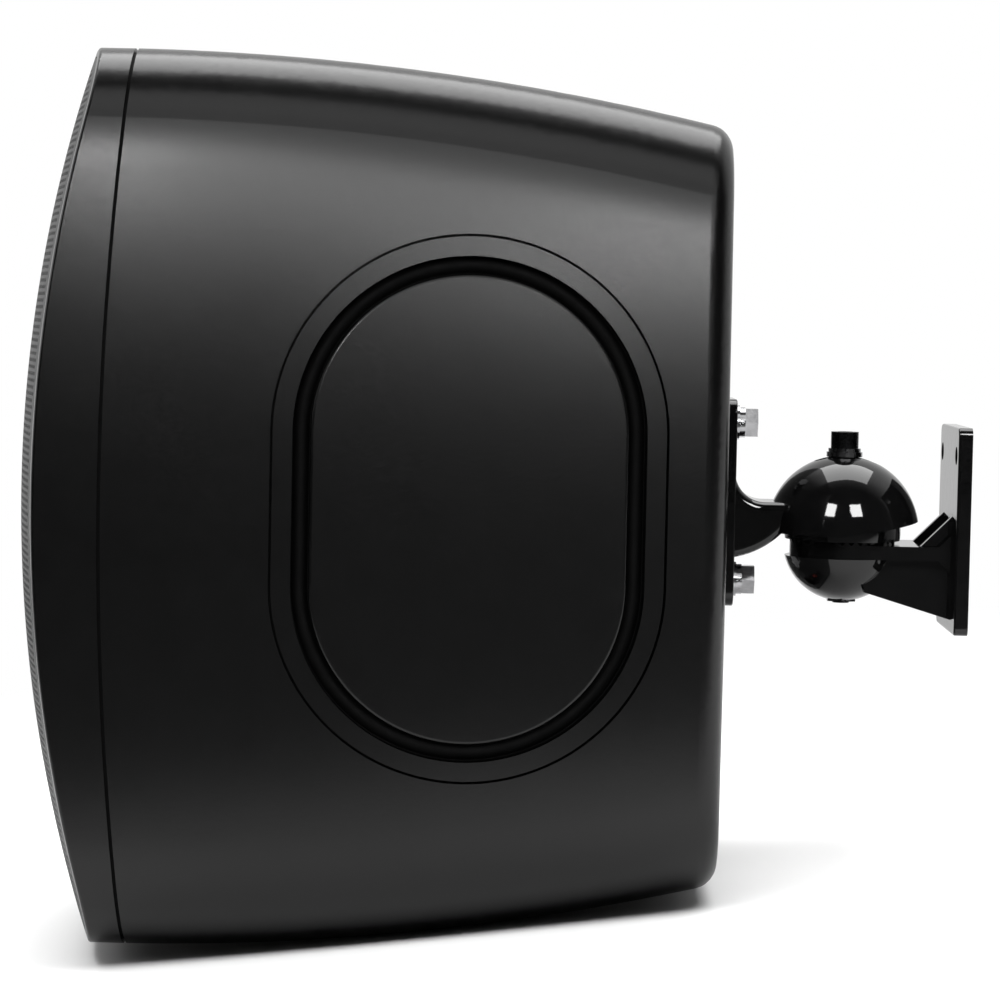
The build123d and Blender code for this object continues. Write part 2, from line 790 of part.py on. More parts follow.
# Tweeter
def make_tweeter():
    plate_front_y = panel_front_y - tweeter_plate_t
    plate = turned(
        [
            (tweeter_plate_r, plate_front_y),
            (tweeter_plate_r, panel_front_y),
            (tweeter_throat_r, panel_front_y),
            (tweeter_throat_r, panel_front_y - tweeter_surround_t),
            (tweeter_mouth_r, plate_front_y),
        ],
        tweeter_z,
    )
    for x, z in tweeter_screw_places():
        plate -= rod(small_screw_d / 2 + hole_gap, plate_front_y, panel_front_y, x, z)
    nodes["tweeter_faceplate"] = plate
    nodes["tweeter_screws"] = group(
        screw(x, z, plate_front_y, small_screw_d, small_screw_head_d, small_screw_head_h, woofer_screw_length)
        for x, z in tweeter_screw_places()
    )

    coil_inner_r = tweeter_dome_r - tweeter_dome_t
    motor = rod(tweeter_motor_r, panel_front_y, panel_front_y + tweeter_motor_length, 0, tweeter_z)
    motor -= pipe(
        tweeter_dome_r + tweeter_groove_gap,
        coil_inner_r - tweeter_groove_gap,
        panel_front_y,
        panel_front_y + tweeter_groove_depth,
        0,
        tweeter_z,
    )
    nodes["tweeter_motor"] = motor

    base_y = panel_front_y - tweeter_travel - tweeter_surround_t
    coil_y = base_y + tweeter_coil_length
    outer = cap_arc(tweeter_dome_r, tweeter_dome_rise, base_y, tweeter_z)
    inner = cap_arc(coil_inner_r, tweeter_dome_rise - tweeter_dome_t, base_y, tweeter_z)
    outer_end = Vector(tweeter_dome_r, coil_y, tweeter_z)
    inner_end = Vector(coil_inner_r, coil_y, tweeter_z)
    dome_edges = [
        outer,
        Edge.make_line(outer @ 1, inner @ 1),
        inner,
        Edge.make_line(inner @ 0, inner_end),
        Edge.make_line(inner_end, outer_end),
        Edge.make_line(outer_end, outer @ 0),
    ]
    nodes["tweeter_dome"] = turned_face(dome_edges, tweeter_z)

    outer_r = tweeter_throat_r - running_gap
    inner_r = tweeter_dome_r + running_gap
    crest_r = (inner_r + outer_r) / 2
    back = [(inner_r, base_y), (crest_r, base_y - tweeter_travel), (outer_r, panel_front_y)]
    front = [(r, y - tweeter_surround_t) for r, y in reversed(back)]
    nodes["tweeter_surround"] = turned(back + front, tweeter_z)


# Terminals on the back
def make_terminals():
    floor_back_y = terminal_floor_y - terminal_well_wall
    collar_y = terminal_face_y + terminal_collar_h
    plate = terminal_prism(-hole_gap, terminal_floor_y, terminal_face_y)
    for x, z in terminal_places():
        plate += rod(terminal_collar_d / 2, terminal_face_y, collar_y, x, z)
    for x, z in terminal_places():
        plate -= rod(terminal_post_d / 2, terminal_floor_y, collar_y, x, z)
    for x, z in terminal_screw_places():
        plate -= rod(small_screw_d / 2 + hole_gap, terminal_floor_y, terminal_face_y, x, z)
    nodes["terminal_plate"] = plate

    nodes["terminal_screws"] = group(
        screw_from_behind(
            x,
            z,
            terminal_face_y,
            small_screw_d,
            small_screw_head_d,
            small_screw_head_h,
            terminal_screw_length,
        )
        for x, z in terminal_screw_places()
    )
    tip_y = collar_y + terminal_wire_gap + terminal_knob_h
    nodes["terminal_posts"] = group(
        rod(terminal_post_d / 2, floor_back_y - terminal_post_inside, tip_y, x, z)
        for x, z in terminal_places()
    )
    nodes["terminal_nuts"] = group(
        hexagon_bar(terminal_nut_af, floor_back_y - terminal_nut_h, floor_back_y, x, z)
        - rod(terminal_post_d / 2, floor_back_y - terminal_nut_h, floor_back_y, x, z)
        for x, z in terminal_places()
    )
    knob_y = collar_y + terminal_wire_gap
    for name, (x, z) in zip(("terminal_knob_black", "terminal_knob_red"), terminal_places()):
        knob = pipe(
            terminal_knob_d / 2, terminal_post_d / 2 + thread_gap, knob_y, knob_y + terminal_knob_h, x, z
        )
        flutes = [
            rod(terminal_flute_d / 2, knob_y, knob_y + terminal_knob_h, x + dx, z + dz)
            for dx, dz in on_circle(terminal_knob_flutes, terminal_knob_d / 2, 0)
        ]
        nodes[name] = knob - flutes


# Crossover
def make_crossover():
    board = block(
        (-board_width / 2, board_width / 2),
        (board_front_y, board_back_y),
        (board_z - board_height / 2, board_z + board_height / 2),
    )
    for x, z in board_screw_places():
        board -= rod(small_screw_d / 2 + hole_gap, board_front_y, board_back_y, x, z)
    nodes["crossover_board"] = board
    nodes["board_screws"] = group(
        screw(x, z, board_front_y, small_screw_d, small_screw_head_d, small_screw_head_h, board_screw_length)
        for x, z in board_screw_places()
    )
    nodes["crossover_inductors"] = group(
        pipe(outer_d / 2, inner_d / 2, board_front_y - height, board_front_y, x, board_z + z)
        for outer_d, inner_d, height, x, z in coil_sizes
    )
    nodes["crossover_capacitors"] = group(
        Pos(x, board_front_y - diameter / 2, board_z + z) * Rot(0, 90, 0) * Cylinder(diameter / 2, length)
        for diameter, length, x, z in capacitor_sizes
    )
    length, height, thickness = resistor_size
    x, z = resistor_place
    nodes["crossover_resistor"] = block(
        (x - length / 2, x + length / 2),
        (board_front_y - thickness, board_front_y),
        (board_z + z - height / 2, board_z + z + height / 2),
    )


# Speaker arm: plate, horn and dome in one casting
def make_speaker_arm():
    sketch = RectangleRounded(arm_plate_width, arm_plate_height, arm_plate_corner_r)
    plate = Pos(0, arm_plate_y, axis_z) * Rot(90, 0, 0) * extrude(sketch, amount=arm_plate_t)
    plate = fillet(plate.faces().sort_by(Axis.Y)[-1].edges(), arm_plate_edge_r)

    side = -arm_width / 2
    root_y = pad_y - arm_edge_r
    tip_y = pivot_y - dome_inner_r
    top_z = pivot_z + arm_top_rise
    sweep_centre = Vector(side, arm_plate_y + arm_top_sweep_r, top_z + arm_top_sweep_r)
    diagonal = arm_top_sweep_r * math.sqrt(0.5)
    plate_top = Vector(side, arm_plate_y, sweep_centre.Z)
    sweep_end = Vector(side, sweep_centre.Y, top_z)
    root_low = Vector(side, root_y, pivot_z - arm_root_drop)
    tip_low = Vector(side, tip_y, pivot_z + arm_tip_rise)
    middle = (root_low + tip_low) * 0.5
    across = Vector(0, tip_low.Z - root_low.Z, root_low.Y - tip_low.Y).normalized()
    tip_top = Vector(side, tip_y + arm_tip_lean, top_z)
    edges = [
        Edge.make_line(Vector(side, root_y, plate_top.Z), plate_top),
        Edge.make_three_point_arc(plate_top, sweep_centre - Vector(0, diagonal, diagonal), sweep_end),
        Edge.make_line(sweep_end, tip_top),
        Edge.make_line(tip_top, tip_low),
        Edge.make_three_point_arc(tip_low, middle + across * arm_belly, root_low),
        Edge.make_line(root_low, Vector(side, root_y, plate_top.Z)),
    ]
    horn = extrude(Face(Wire(edges)), amount=arm_width, dir=(1, 0, 0))
    outline_edges = [
        e
        for e in horn.edges()
        if e.bounding_box().size.X < seat_gap and e.center().Y > pad_y + seat_gap
    ]
    horn = fillet(outline_edges, arm_edge_r) & slice_y(pad_y, pivot_y)

    at_pivot = Pos(0, pivot_y, pivot_z)
    reach = 4 * dome_r
    dome = at_pivot * Sphere(dome_r)
    dome -= at_pivot * Pos(0, 0, -dome_rim_drop - reach / 2) * Box(reach, reach, reach)
    rim_cut = Pos(0, 0, -dome_rim_drop) * Rot(dome_rim_lean, 0, 0) * Pos(0, reach / 2, -reach / 2)
    dome -= at_pivot * rim_cut * Box(reach, reach, reach)
    arm = plate + horn + dome - at_pivot * Sphere(dome_inner_r)

    slack = clamp_d / 2 / math.cos(math.radians(tilt_down)) + tilt_slot_gap
    slot_front = dome_r * math.sin(math.radians(tilt_up)) + slack
    slot_back = dome_r * math.sin(math.radians(tilt_down)) + slack
    slot = SlotOverall(slot_front + slot_back, clamp_d + 2 * tilt_slot_gap, rotation=90)
    arm -= at_pivot * Pos(0, (slot_back - slot_front) / 2, 0) * extrude(slot, amount=2 * dome_r)
    for z in mount_bolt_rows:
        arm -= rod(mount_bolt_d / 2 + hole_gap, pad_y, arm_plate_y, 0, z)
    nodes["speaker_arm"] = arm


def slit_washer(washer_d, hole_d, thickness):
    """A spring washer with its slit, lying on the XY plane."""
    ring = Cylinder(washer_d / 2, thickness) - Cylinder(hole_d / 2, thickness)
    slit = Pos(washer_d / 2, 0, 0) * Rot(washer_slit_angle, 0, 0) * Box(washer_d, washer_slit, washer_d)
    return ring - slit


def make_mounting_hardware():
    washer_y = arm_plate_y + flat_washer_t
    seat_y = washer_y + spring_washer_t
    hole_d = mount_bolt_d + 2 * hole_gap
    nodes["mounting_bolts"] = group(
        hexagon_bar(mount_bolt_af, seat_y, seat_y + mount_bolt_head_h, 0, z)
        + rod(mount_bolt_d / 2, seat_y - mount_bolt_length, seat_y, 0, z)
        for z in mount_bolt_rows
    )
    nodes["flat_washers"] = group(
        pipe(flat_washer_d / 2, hole_d / 2, arm_plate_y, washer_y, 0, z) for z in mount_bolt_rows
    )
    spring_washer = Rot(90, 0, 0) * slit_washer(spring_washer_d, hole_d, spring_washer_t)
    nodes["spring_washers"] = group(
        Pos(0, (washer_y + seat_y) / 2, z) * spring_washer for z in mount_bolt_rows
    )
    nodes["threaded_inserts"] = group(
        pipe(insert_d / 2, mount_bolt_d / 2 + thread_gap, pad_y - insert_length, pad_y, 0, z)
        for z in mount_bolt_rows
    )


# Ball joint
def make_pivot():
    at_pivot = Pos(0, pivot_y, pivot_z)
    seat_z = tooth_tip_z + seat_gap
    ball = at_pivot * Sphere(ball_r)
    ball -= post(2 * ball_r, seat_z - 2 * ball_r, seat_z, 0, pivot_y)
    ball -= post(clamp_d / 2 + hole_gap, seat_z, pivot_z + ball_r, 0, pivot_y)
    nodes["pivot_ball"] = ball

    saddle = post(saddle_washer_d / 2, pivot_z + ball_r, saddle_top_z, 0, pivot_y)
    saddle -= at_pivot * Sphere(dome_r + running_gap)
    nodes["saddle_washer"] = saddle - post(clamp_d / 2 + hole_gap, pivot_z, saddle_top_z, 0, pivot_y)
    lock = slit_washer(lock_washer_d, clamp_d + 2 * hole_gap, lock_washer_t)
    nodes["lock_washer"] = Pos(0, pivot_y, (saddle_top_z + lock_top_z) / 2) * lock

    head_z = lock_top_z + clamp_head_h
    end_z = nut_bottom_z - clamp_end_stand
    clamp = post(clamp_d / 2, end_z, lock_top_z, 0, pivot_y)
    clamp += post(clamp_head_d / 2, lock_top_z, head_z, 0, pivot_y)
    socket = extrude(RegularPolygon(clamp_socket_d / 2, 6), amount=clamp_socket_h)
    nodes["clamp_screw"] = clamp - Pos(0, pivot_y, head_z - clamp_socket_h) * socket
    nut = extrude(RegularPolygon(clamp_nut_af / 2, 6, major_radius=False), amount=clamp_nut_h)
    nut -= Pos(0, 0, clamp_nut_h / 2) * Cylinder(clamp_d / 2 + thread_gap, clamp_nut_h)
    nodes["clamp_nut"] = Pos(0, pivot_y, nut_bottom_z) * nut


# Wall bracket: plate, arm, toothed ring and lower half-ball in one casting
def upright_prism(corners, width, x=0.0):
    """A prism with a (y, z) outline and a width across X."""
    points = [Vector(x - width / 2, y, z) for y, z in corners]
    return extrude(Face(Wire.make_polygon(points, close=True)), amount=width, dir=(1, 0, 0))


def ring_tooth():
    """One face tooth, pointing along X, with its root on Z = 0."""
    root = math.pi * (ring_r - tooth_length / 2) / tooth_count
    inner_x = ring_r - tooth_length
    crest = tooth_crest / 2
    corners = [(-root, 0.0), (root, 0.0), (crest, tooth_h), (-crest, tooth_h)]
    points = [Vector(inner_x, y, z) for y, z in corners]
    return extrude(Face(Wire.make_polygon(points, close=True)), amount=tooth_length, dir=(1, 0, 0))


def make_wall_bracket():
    face_y = -wall_plate_t
    sketch = RectangleRounded(wall_plate_width, wall_plate_height, wall_plate_corner_r)
    bracket = Rot(90, 0, 0) * extrude(sketch, amount=wall_plate_t)
    bracket = fillet(bracket.faces().sort_by(Axis.Y)[0].edges(), wall_plate_edge_r)
    half = wall_arm_width / 2
    bracket += block((-half, half), (pivot_y, face_y / 2), (ring_bottom_z, ring_top_z))
    bracket += post(ring_r, ring_bottom_z, ring_top_z, 0, pivot_y)

    lower = Pos(0, pivot_y, lower_ball_z) * Sphere(lower_ball_r)
    bracket += lower & post(2 * lower_ball_r, ring_bottom_z - 2 * lower_ball_r, ring_bottom_z, 0, pivot_y)

    rib_x = (gusset_width - rib_t) / 2
    wedges = [(gusset_leg, gusset_width, 0), (flare_leg, wall_arm_width, 0)]
    wedges += [(rib_leg, rib_t, -rib_x), (rib_leg, rib_t, rib_x)]
    for leg, width, x in wedges:
        corners = [(face_y, ring_top_z), (face_y - leg, ring_top_z), (face_y, ring_top_z + leg)]
        bracket += upright_prism(corners, width, x)
    flare_y = face_y - flare_leg
    under = [(face_y, ring_bottom_z), (flare_y, ring_bottom_z), (face_y, ring_bottom_z - flare_leg)]
    bracket += upright_prism(under, wall_arm_width)
    web_front_y = pivot_y + web_start
    web = [
        (face_y / 2, ring_top_z - wall_arm_t / 2),
        (face_y / 2, ring_bottom_z - web_wall_depth),
        (web_front_y, ring_bottom_z - web_ball_depth),
        (web_front_y, ring_top_z - wall_arm_t / 2),
    ]
    for side in (-1, 1):
        bracket += upright_prism(web, web_t, side * web_spacing / 2)

    tooth = ring_tooth()
    for n in range(tooth_count):
        bracket += Pos(0, pivot_y, ring_top_z) * Rot(0, 0, 360 * n / tooth_count) * tooth

    bracket -= post(clamp_d / 2 + hole_gap, nut_bottom_z, tooth_tip_z, 0, pivot_y)
    pocket_af = clamp_nut_af + 2 * seat_gap
    pocket = extrude(RegularPolygon(pocket_af / 2, 6, major_radius=False), amount=clamp_nut_h)
    bracket -= Pos(0, pivot_y, nut_bottom_z) * pocket
    for x in (-wall_hole_spacing_x / 2, wall_hole_spacing_x / 2):
        for z in (-wall_hole_spacing_z / 2, wall_hole_spacing_z / 2):
            bracket -= rod(wall_hole_d / 2, face_y, 0, x, z)
    nodes["wall_bracket"] = bracket


make_front()
make_grille()
make_woofer_frame()
make_woofer_motor()
make_woofer_cone()
make_tweeter()
make_terminals()
make_crossover()
make_speaker_arm()
make_mounting_hardware()
make_pivot()
make_wall_bracket()

os.makedirs("parts", exist_ok=True)
for name, shape in nodes.items():
    export_step(shape, f"parts/{name}.step")
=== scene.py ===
import json
import math

import bmesh
import bpy
import numpy as np
from mathutils import Matrix, Vector, geometry


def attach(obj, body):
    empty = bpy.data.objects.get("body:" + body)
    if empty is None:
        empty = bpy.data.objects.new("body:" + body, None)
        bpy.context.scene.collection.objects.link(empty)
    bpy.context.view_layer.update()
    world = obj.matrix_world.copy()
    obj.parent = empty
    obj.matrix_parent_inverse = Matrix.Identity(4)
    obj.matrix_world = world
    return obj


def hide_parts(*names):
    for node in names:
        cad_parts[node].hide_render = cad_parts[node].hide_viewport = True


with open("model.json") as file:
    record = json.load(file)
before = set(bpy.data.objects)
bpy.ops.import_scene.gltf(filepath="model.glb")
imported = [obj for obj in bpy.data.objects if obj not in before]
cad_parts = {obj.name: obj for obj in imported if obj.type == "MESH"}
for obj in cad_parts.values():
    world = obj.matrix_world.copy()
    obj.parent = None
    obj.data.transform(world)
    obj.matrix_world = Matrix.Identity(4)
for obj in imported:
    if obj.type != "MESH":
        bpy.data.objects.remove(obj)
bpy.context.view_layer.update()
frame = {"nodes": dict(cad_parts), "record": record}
nodes = frame["nodes"]
scene = bpy.context.scene
MM = 0.001

# The bowed front, as in the CAD source, and the perforation, in millimetres
AXIS_Z = 8.2
FRONT_APEX_Y = -337.9
FRONT_HEIGHT_R = 496.0
FRONT_WIDTH_R = 324.0
GRILLE_T = 1.2
SKIRT_DEPTH = 8.0
HOLE_PITCH = 2.6
HOLE_D = 1.7
HOLE_SIDES = 6
HOLE_RIM = 3.0
ON_FRONT = 0.05
RIM_ANGLE = math.radians(45)
SHARP_ANGLE = math.radians(40)

# The long edges: where the side meets its rounded edge, as a height from the axis in metres at a
# depth Y (start + slope Y + curve Y squared), and how wide and far the shading eases into it. Only
# faces that look sideways are eased: two shares of the normal's X, and the ease at each.
EDGE_START, EDGE_SLOPE, EDGE_CURVE = 0.0823, -0.3233, -0.552
EASE_WIDTH = 0.020
EASE_LEAN = 0.115
SIDE_FACING = (0.6, 0.9, 0.0, 1.0)

# The middle of a noise texture's values, which a material spreads over its own two limits
NOISE_LOW, NOISE_HIGH = 0.3, 0.7

# The floor: a disc under the cabinet's tapered underside, with its tilt, the place that it touches,
# and its radius in rings that widen outwards
FLOOR_SLOPE = math.radians(6.3)
FLOOR_TOUCH = Vector((0.0, -0.195, -0.1402))
FLOOR_RADIUS = 2.6
FLOOR_RINGS = 24
FLOOR_AROUND = 64
FLOOR_WIDENING = 1.5
# Two distances in metres, and a share at each. Away from the speaker the floor turns plain white to the
# camera, and towards the camera's side its mirror image is dimmed with painted shade, mixed towards black
# in reflections only.
FLOOR_WHITE = (0.35, 0.90, 0.0, 1.0)
FLOOR_PAINTED_SHADE = (0.16, 0.35, 0.40, 0.94)

# The surroundings: the world's X direction from the camera's side to the far side, and its light
WORLD_LIGHT = (0.35, -0.35, 0.01, 0.85)
WORLD_TO_CAMERA = 1.0

# The strips along the side's highlight: name, Y, Z, width, height and radiance
STRIP_X = 1.45
STRIP_ROLL = -8.4
STRIPS = (
    ("key_left", -0.60, 0.502, 0.30, 0.075, 32.0),
    ("key_middle", -0.165, 0.434, 0.57, 0.075, 13.5),
    ("key_right", 0.31, 0.364, 0.38, 0.075, 26.0),
    ("key_spill", -0.125, 0.333, 1.25, 0.11, 1.1),
)
# The two windows that show in the bracket's ball: name and place
BALL = (0.0, -0.043, 0.0)
WINDOW_SIZE = (0.34, 0.42)
WINDOW_RADIANCE = 22.0
WINDOWS = (("window_left", (0.95, -0.52, 0.72)), ("window_right", (1.02, 0.30, 0.72)))

# The camera, at the photograph's place
CAMERA_PLACE = (1.151, -0.1450, 0.0738)
CAMERA_YAW, CAMERA_PITCH, CAMERA_ROLL = math.radians(1.13), math.radians(3.34), math.radians(1.15)
CAMERA_LENS = 114.0
CAMERA_SENSOR = 36.0
CAMERA_REACH = 50.0


# Node materials, by the slot's name
MATERIALS = {}


class Shader:
    """A small helper that adds nodes to one material and joins them up."""

    def __init__(self, name):
        self.material = MATERIALS[name] = bpy.data.materials.new(name)
        self.material.use_nodes = True
        self.tree = self.material.node_tree
        self.bsdf = self.tree.nodes["Principled BSDF"]
        texture = self.add("ShaderNodeTexCoord")
        self.coords = texture.outputs["Object"]
        self.facing = texture.outputs["Normal"]

    def add(self, kind, **values):
        node = self.tree.nodes.new(kind)
        for key, value in values.items():
            setattr(node, key, value)
        return node

    def link(self, source, target):
        self.tree.links.new(source, target)

    def noise(self, scale, detail=3.0, roughness=0.5, stretch=None):
        node = self.add("ShaderNodeTexNoise")
        node.inputs["Scale"].default_value = scale
        node.inputs["Detail"].default_value = detail
        node.inputs["Roughness"].default_value = roughness
        coords = self.coords
        if stretch:
            mapping = self.add("ShaderNodeMapping")
            mapping.inputs["Scale"].default_value = stretch
            self.link(coords, mapping.inputs["Vector"])
            coords = mapping.outputs["Vector"]
        self.link(coords, node.inputs["Vector"])
        return node.outputs["Fac"]

    def ramp(self, source, stops):
        node = self.add("ShaderNodeValToRGB")
        for element, (place, colour) in zip(node.color_ramp.elements, stops):
            element.position = place
            element.color = (*colour, 1.0)
        self.link(source, node.inputs["Fac"])
        return node.outputs["Color"]

    def fade(self, source, span, shape="SMOOTHSTEP"):
        """A value mapped from the span's first two numbers to its last two."""
        node = self.add("ShaderNodeMapRange", interpolation_type=shape)
        for key, value in zip(("From Min", "From Max", "To Min", "To Max"), span):
            node.inputs[key].default_value = value
        self.link(source, node.inputs["Value"])
        return node.outputs["Result"]

    def maths(self, operation, *values):
        node = self.add("ShaderNodeMath", operation=operation)
        for socket, value in zip(node.inputs, values):
            if isinstance(value, float):
                socket.default_value = value
            else:
                self.link(value, socket)
        return node.outputs[0]

    def vectors(self, operation, *values):
        node = self.add("ShaderNodeVectorMath", operation=operation)
        for socket, value in zip(node.inputs, values):
            self.link(value, socket)
        return node.outputs[0]

    def parts(self, vector):
        node = self.add("ShaderNodeSeparateXYZ")
        self.link(vector, node.inputs["Vector"])
        return node.outputs

    def mixed(self, share, first, second):
        node = self.add("ShaderNodeMixShader")
        self.link(share, node.inputs["Fac"])
        self.link(first, node.inputs[1])
        self.link(second, node.inputs[2])
        return node.outputs[0]

    def bump(self, height, depth, normal=None):
        """Bump of a depth in metres, on a normal of its own if one is given."""
        node = self.add("ShaderNodeBump")
        node.inputs["Strength"].default_value = 1.0
        node.inputs["Distance"].default_value = depth
        self.link(height, node.inputs["Height"])
        if normal:
            self.link(normal, node.inputs["Normal"])
        self.link(node.outputs["Normal"], self.bsdf.inputs["Normal"])

    def eased_edge(self):
        """The normal, leaning a little up or down where the side meets its rounded long edges."""
        place = self.parts(self.coords)
        height = self.maths("SUBTRACT", place["Z"], AXIS_Z * MM)
        edge = self.maths("MULTIPLY_ADD", place["Y"], EDGE_CURVE, EDGE_SLOPE)
        edge = self.maths("MULTIPLY_ADD", place["Y"], edge, EDGE_START)
        beside = self.maths("SUBTRACT", self.maths("ABSOLUTE", height), edge)
        beside = self.maths("ABSOLUTE", beside)
        near = self.fade(beside, (0.0, EASE_WIDTH, 1.0, 0.0), "LINEAR")
        lean = self.maths("MULTIPLY", self.maths("POWER", near, 2.0), EASE_LEAN)
        sideways = self.maths("ABSOLUTE", self.parts(self.facing)["X"])
        lean = self.maths("MULTIPLY", lean, self.fade(sideways, SIDE_FACING))
        lean = self.maths("MULTIPLY", lean, self.maths("SIGN", height))
        upward = self.add("ShaderNodeCombineXYZ")
        self.link(lean, upward.inputs["Z"])
        turned = self.add("ShaderNodeVectorTransform", vector_type="VECTOR",
                          convert_from="OBJECT", convert_to="WORLD")
        self.link(upward.outputs[0], turned.inputs[0])
        normal = self.add("ShaderNodeNewGeometry").outputs["Normal"]
        return self.vectors("NORMALIZE", self.vectors("ADD", normal, turned.outputs[0]))

    def colour(self, source, dark, light):
        stops = ((NOISE_LOW, dark), (NOISE_HIGH, light))
        self.link(self.ramp(source, stops), self.bsdf.inputs["Base Color"])

    def rough(self, source, low, high):
        spread = self.fade(source, (NOISE_LOW, NOISE_HIGH, low, high), "LINEAR")
        self.link(spread, self.bsdf.inputs["Roughness"])

    def set(self, **values):
        for key, value in values.items():
            self.bsdf.inputs[key.replace("_", " ")].default_value = value


def grey(value):
    return (value, value, value * 1.02)


# Each takes two tones and two roughnesses. A grain is in noise cells a metre, a depth in metres.
def moulded_plastic(name, dark, light, low, high, grain=650.0, depth=0.000020, eased=False):
    s = Shader(name)
    s.colour(s.noise(70.0, detail=6.0, roughness=0.65), grey(dark), grey(light))
    s.rough(s.noise(grain * 0.7, roughness=0.6), low, high)
    s.bump(s.noise(grain, detail=2.0), depth, s.eased_edge() if eased else None)
    s.set(IOR=1.5)


def gloss_paint(name, dark, light, low, high):
    s = Shader(name)
    s.colour(s.noise(90.0, detail=5.0, roughness=0.6), grey(dark), grey(light))
    s.rough(s.noise(120.0, detail=4.0, roughness=0.6), low, high)
    s.bump(s.noise(240.0, detail=1.0), 0.00003)
    s.set(IOR=1.5)


def metal(name, dark, light, low, high, stretch=(1.0, 1.0, 1.0)):
    s = Shader(name)
    s.colour(s.noise(220.0, detail=5.0, roughness=0.6), dark, light)
    streaks = s.noise(900.0, roughness=0.6, stretch=stretch)
    s.rough(streaks, low, high)
    s.bump(streaks, 0.000006)
    s.set(Metallic=1.0)


def soft_rubber(name, dark, light, low=0.58, high=0.72):
    s = Shader(name)
    s.colour(s.noise(160.0, detail=5.0, roughness=0.6), grey(dark), grey(light))
    s.rough(s.noise(300.0), low, high)
    s.bump(s.noise(1800.0, detail=2.0), 0.00001)
    s.set(IOR=1.45, Specular_IOR_Level=0.15)


def tinted(name, dark, light, low, high, grain=1100.0):
    s = Shader(name)
    s.colour(s.noise(180.0, detail=5.0, roughness=0.6), dark, light)
    s.rough(s.noise(150.0, detail=4.0), low, high)
    s.bump(s.noise(grain, detail=2.0), 0.00001)
    s.set(IOR=1.5)


moulded_plastic("cabinet_black", 0.0014, 0.0026, 0.225, 0.255, eased=True)
moulded_plastic("bezel_black", 0.0014, 0.0026, 0.225, 0.255, eased=True)
moulded_plastic("radiator_black", 0.0014, 0.0025, 0.225, 0.255)
moulded_plastic("baffle_black", 0.006, 0.009, 0.5, 0.6)
moulded_plastic("tweeter_black", 0.008, 0.012, 0.4, 0.5)
moulded_plastic("terminal_black", 0.007, 0.011, 0.42, 0.52)
moulded_plastic("cone_plastic", 0.012, 0.02, 0.35, 0.45, grain=700.0)
moulded_plastic("knob_black", 0.006, 0.01, 0.18, 0.26)
moulded_plastic("grille_paint", 0.010, 0.016, 0.40, 0.50, grain=2200.0)
soft_rubber("gasket_rubber", 0.0012, 0.0024)
soft_rubber("surround_rubber", 0.0012, 0.0024)
gloss_paint("bracket_black", 0.0020, 0.0034, 0.04, 0.08)
gloss_paint("basket_black", 0.008, 0.012, 0.3, 0.42)
metal("screw_steel", (0.40, 0.40, 0.41), (0.56, 0.56, 0.57), 0.10, 0.18)
metal("bolt_black", (0.02, 0.02, 0.021), (0.04, 0.04, 0.042), 0.22, 0.34)
metal("motor_steel", (0.40, 0.40, 0.41), (0.55, 0.55, 0.55), 0.25, 0.4, stretch=(1.0, 12.0, 1.0))
metal("ferrite", (0.03, 0.03, 0.031), (0.06, 0.06, 0.062), 0.5, 0.65)
metal("dome_metal", (0.62, 0.62, 0.63), (0.74, 0.74, 0.75), 0.2, 0.3)
metal("coil_copper", (0.52, 0.22, 0.10), (0.70, 0.34, 0.17), 0.22, 0.36, stretch=(1.0, 30.0, 1.0))
metal("terminal_brass", (0.68, 0.47, 0.17), (0.82, 0.60, 0.25), 0.14, 0.26)
tinted("knob_red", (0.34, 0.010, 0.010), (0.46, 0.016, 0.014), 0.18, 0.28)
tinted("board", (0.06, 0.10, 0.045), (0.09, 0.15, 0.06), 0.3, 0.45)
tinted("capacitor_film", (0.05, 0.06, 0.20), (0.08, 0.10, 0.28), 0.2, 0.3)
tinted("resistor_ceramic", (0.6, 0.58, 0.52), (0.72, 0.70, 0.64), 0.55, 0.7)
tinted("spider_cloth", (0.36, 0.25, 0.09), (0.48, 0.35, 0.15), 0.7, 0.85, grain=2500.0)

slot_of = {part["node"]: part["material_slot"] for part in frame["record"]["subparts"]}
for name, obj in nodes.items():
    obj.data.materials.clear()
    obj.data.materials.append(MATERIALS[slot_of[name]])


# Grille: a fine perforated sheet with a folded skirt, on the CAD grille's own front and rim
def bow(x, z):
    """The bowed front's Y at a place across it, with Z from the axis."""
    centre_y = FRONT_APEX_Y + FRONT_HEIGHT_R
    plan_y = FRONT_APEX_Y + FRONT_WIDTH_R - np.sqrt(FRONT_WIDTH_R**2 - x**2)
    return centre_y - np.sqrt((centre_y - plan_y) ** 2 - z**2)


def make_mesh(name, vertices, faces):
    """A smooth-shaded object from points in metres and faces."""
    mesh = bpy.data.meshes.new(name)
    mesh.from_pydata([tuple(v) for v in vertices], [], [tuple(f) for f in faces])
    mesh.update()
    mesh.polygons.foreach_set("use_smooth", [True] * len(mesh.polygons))
    obj = bpy.data.objects.new(name, mesh)
    scene.collection.objects.link(obj)
    return obj


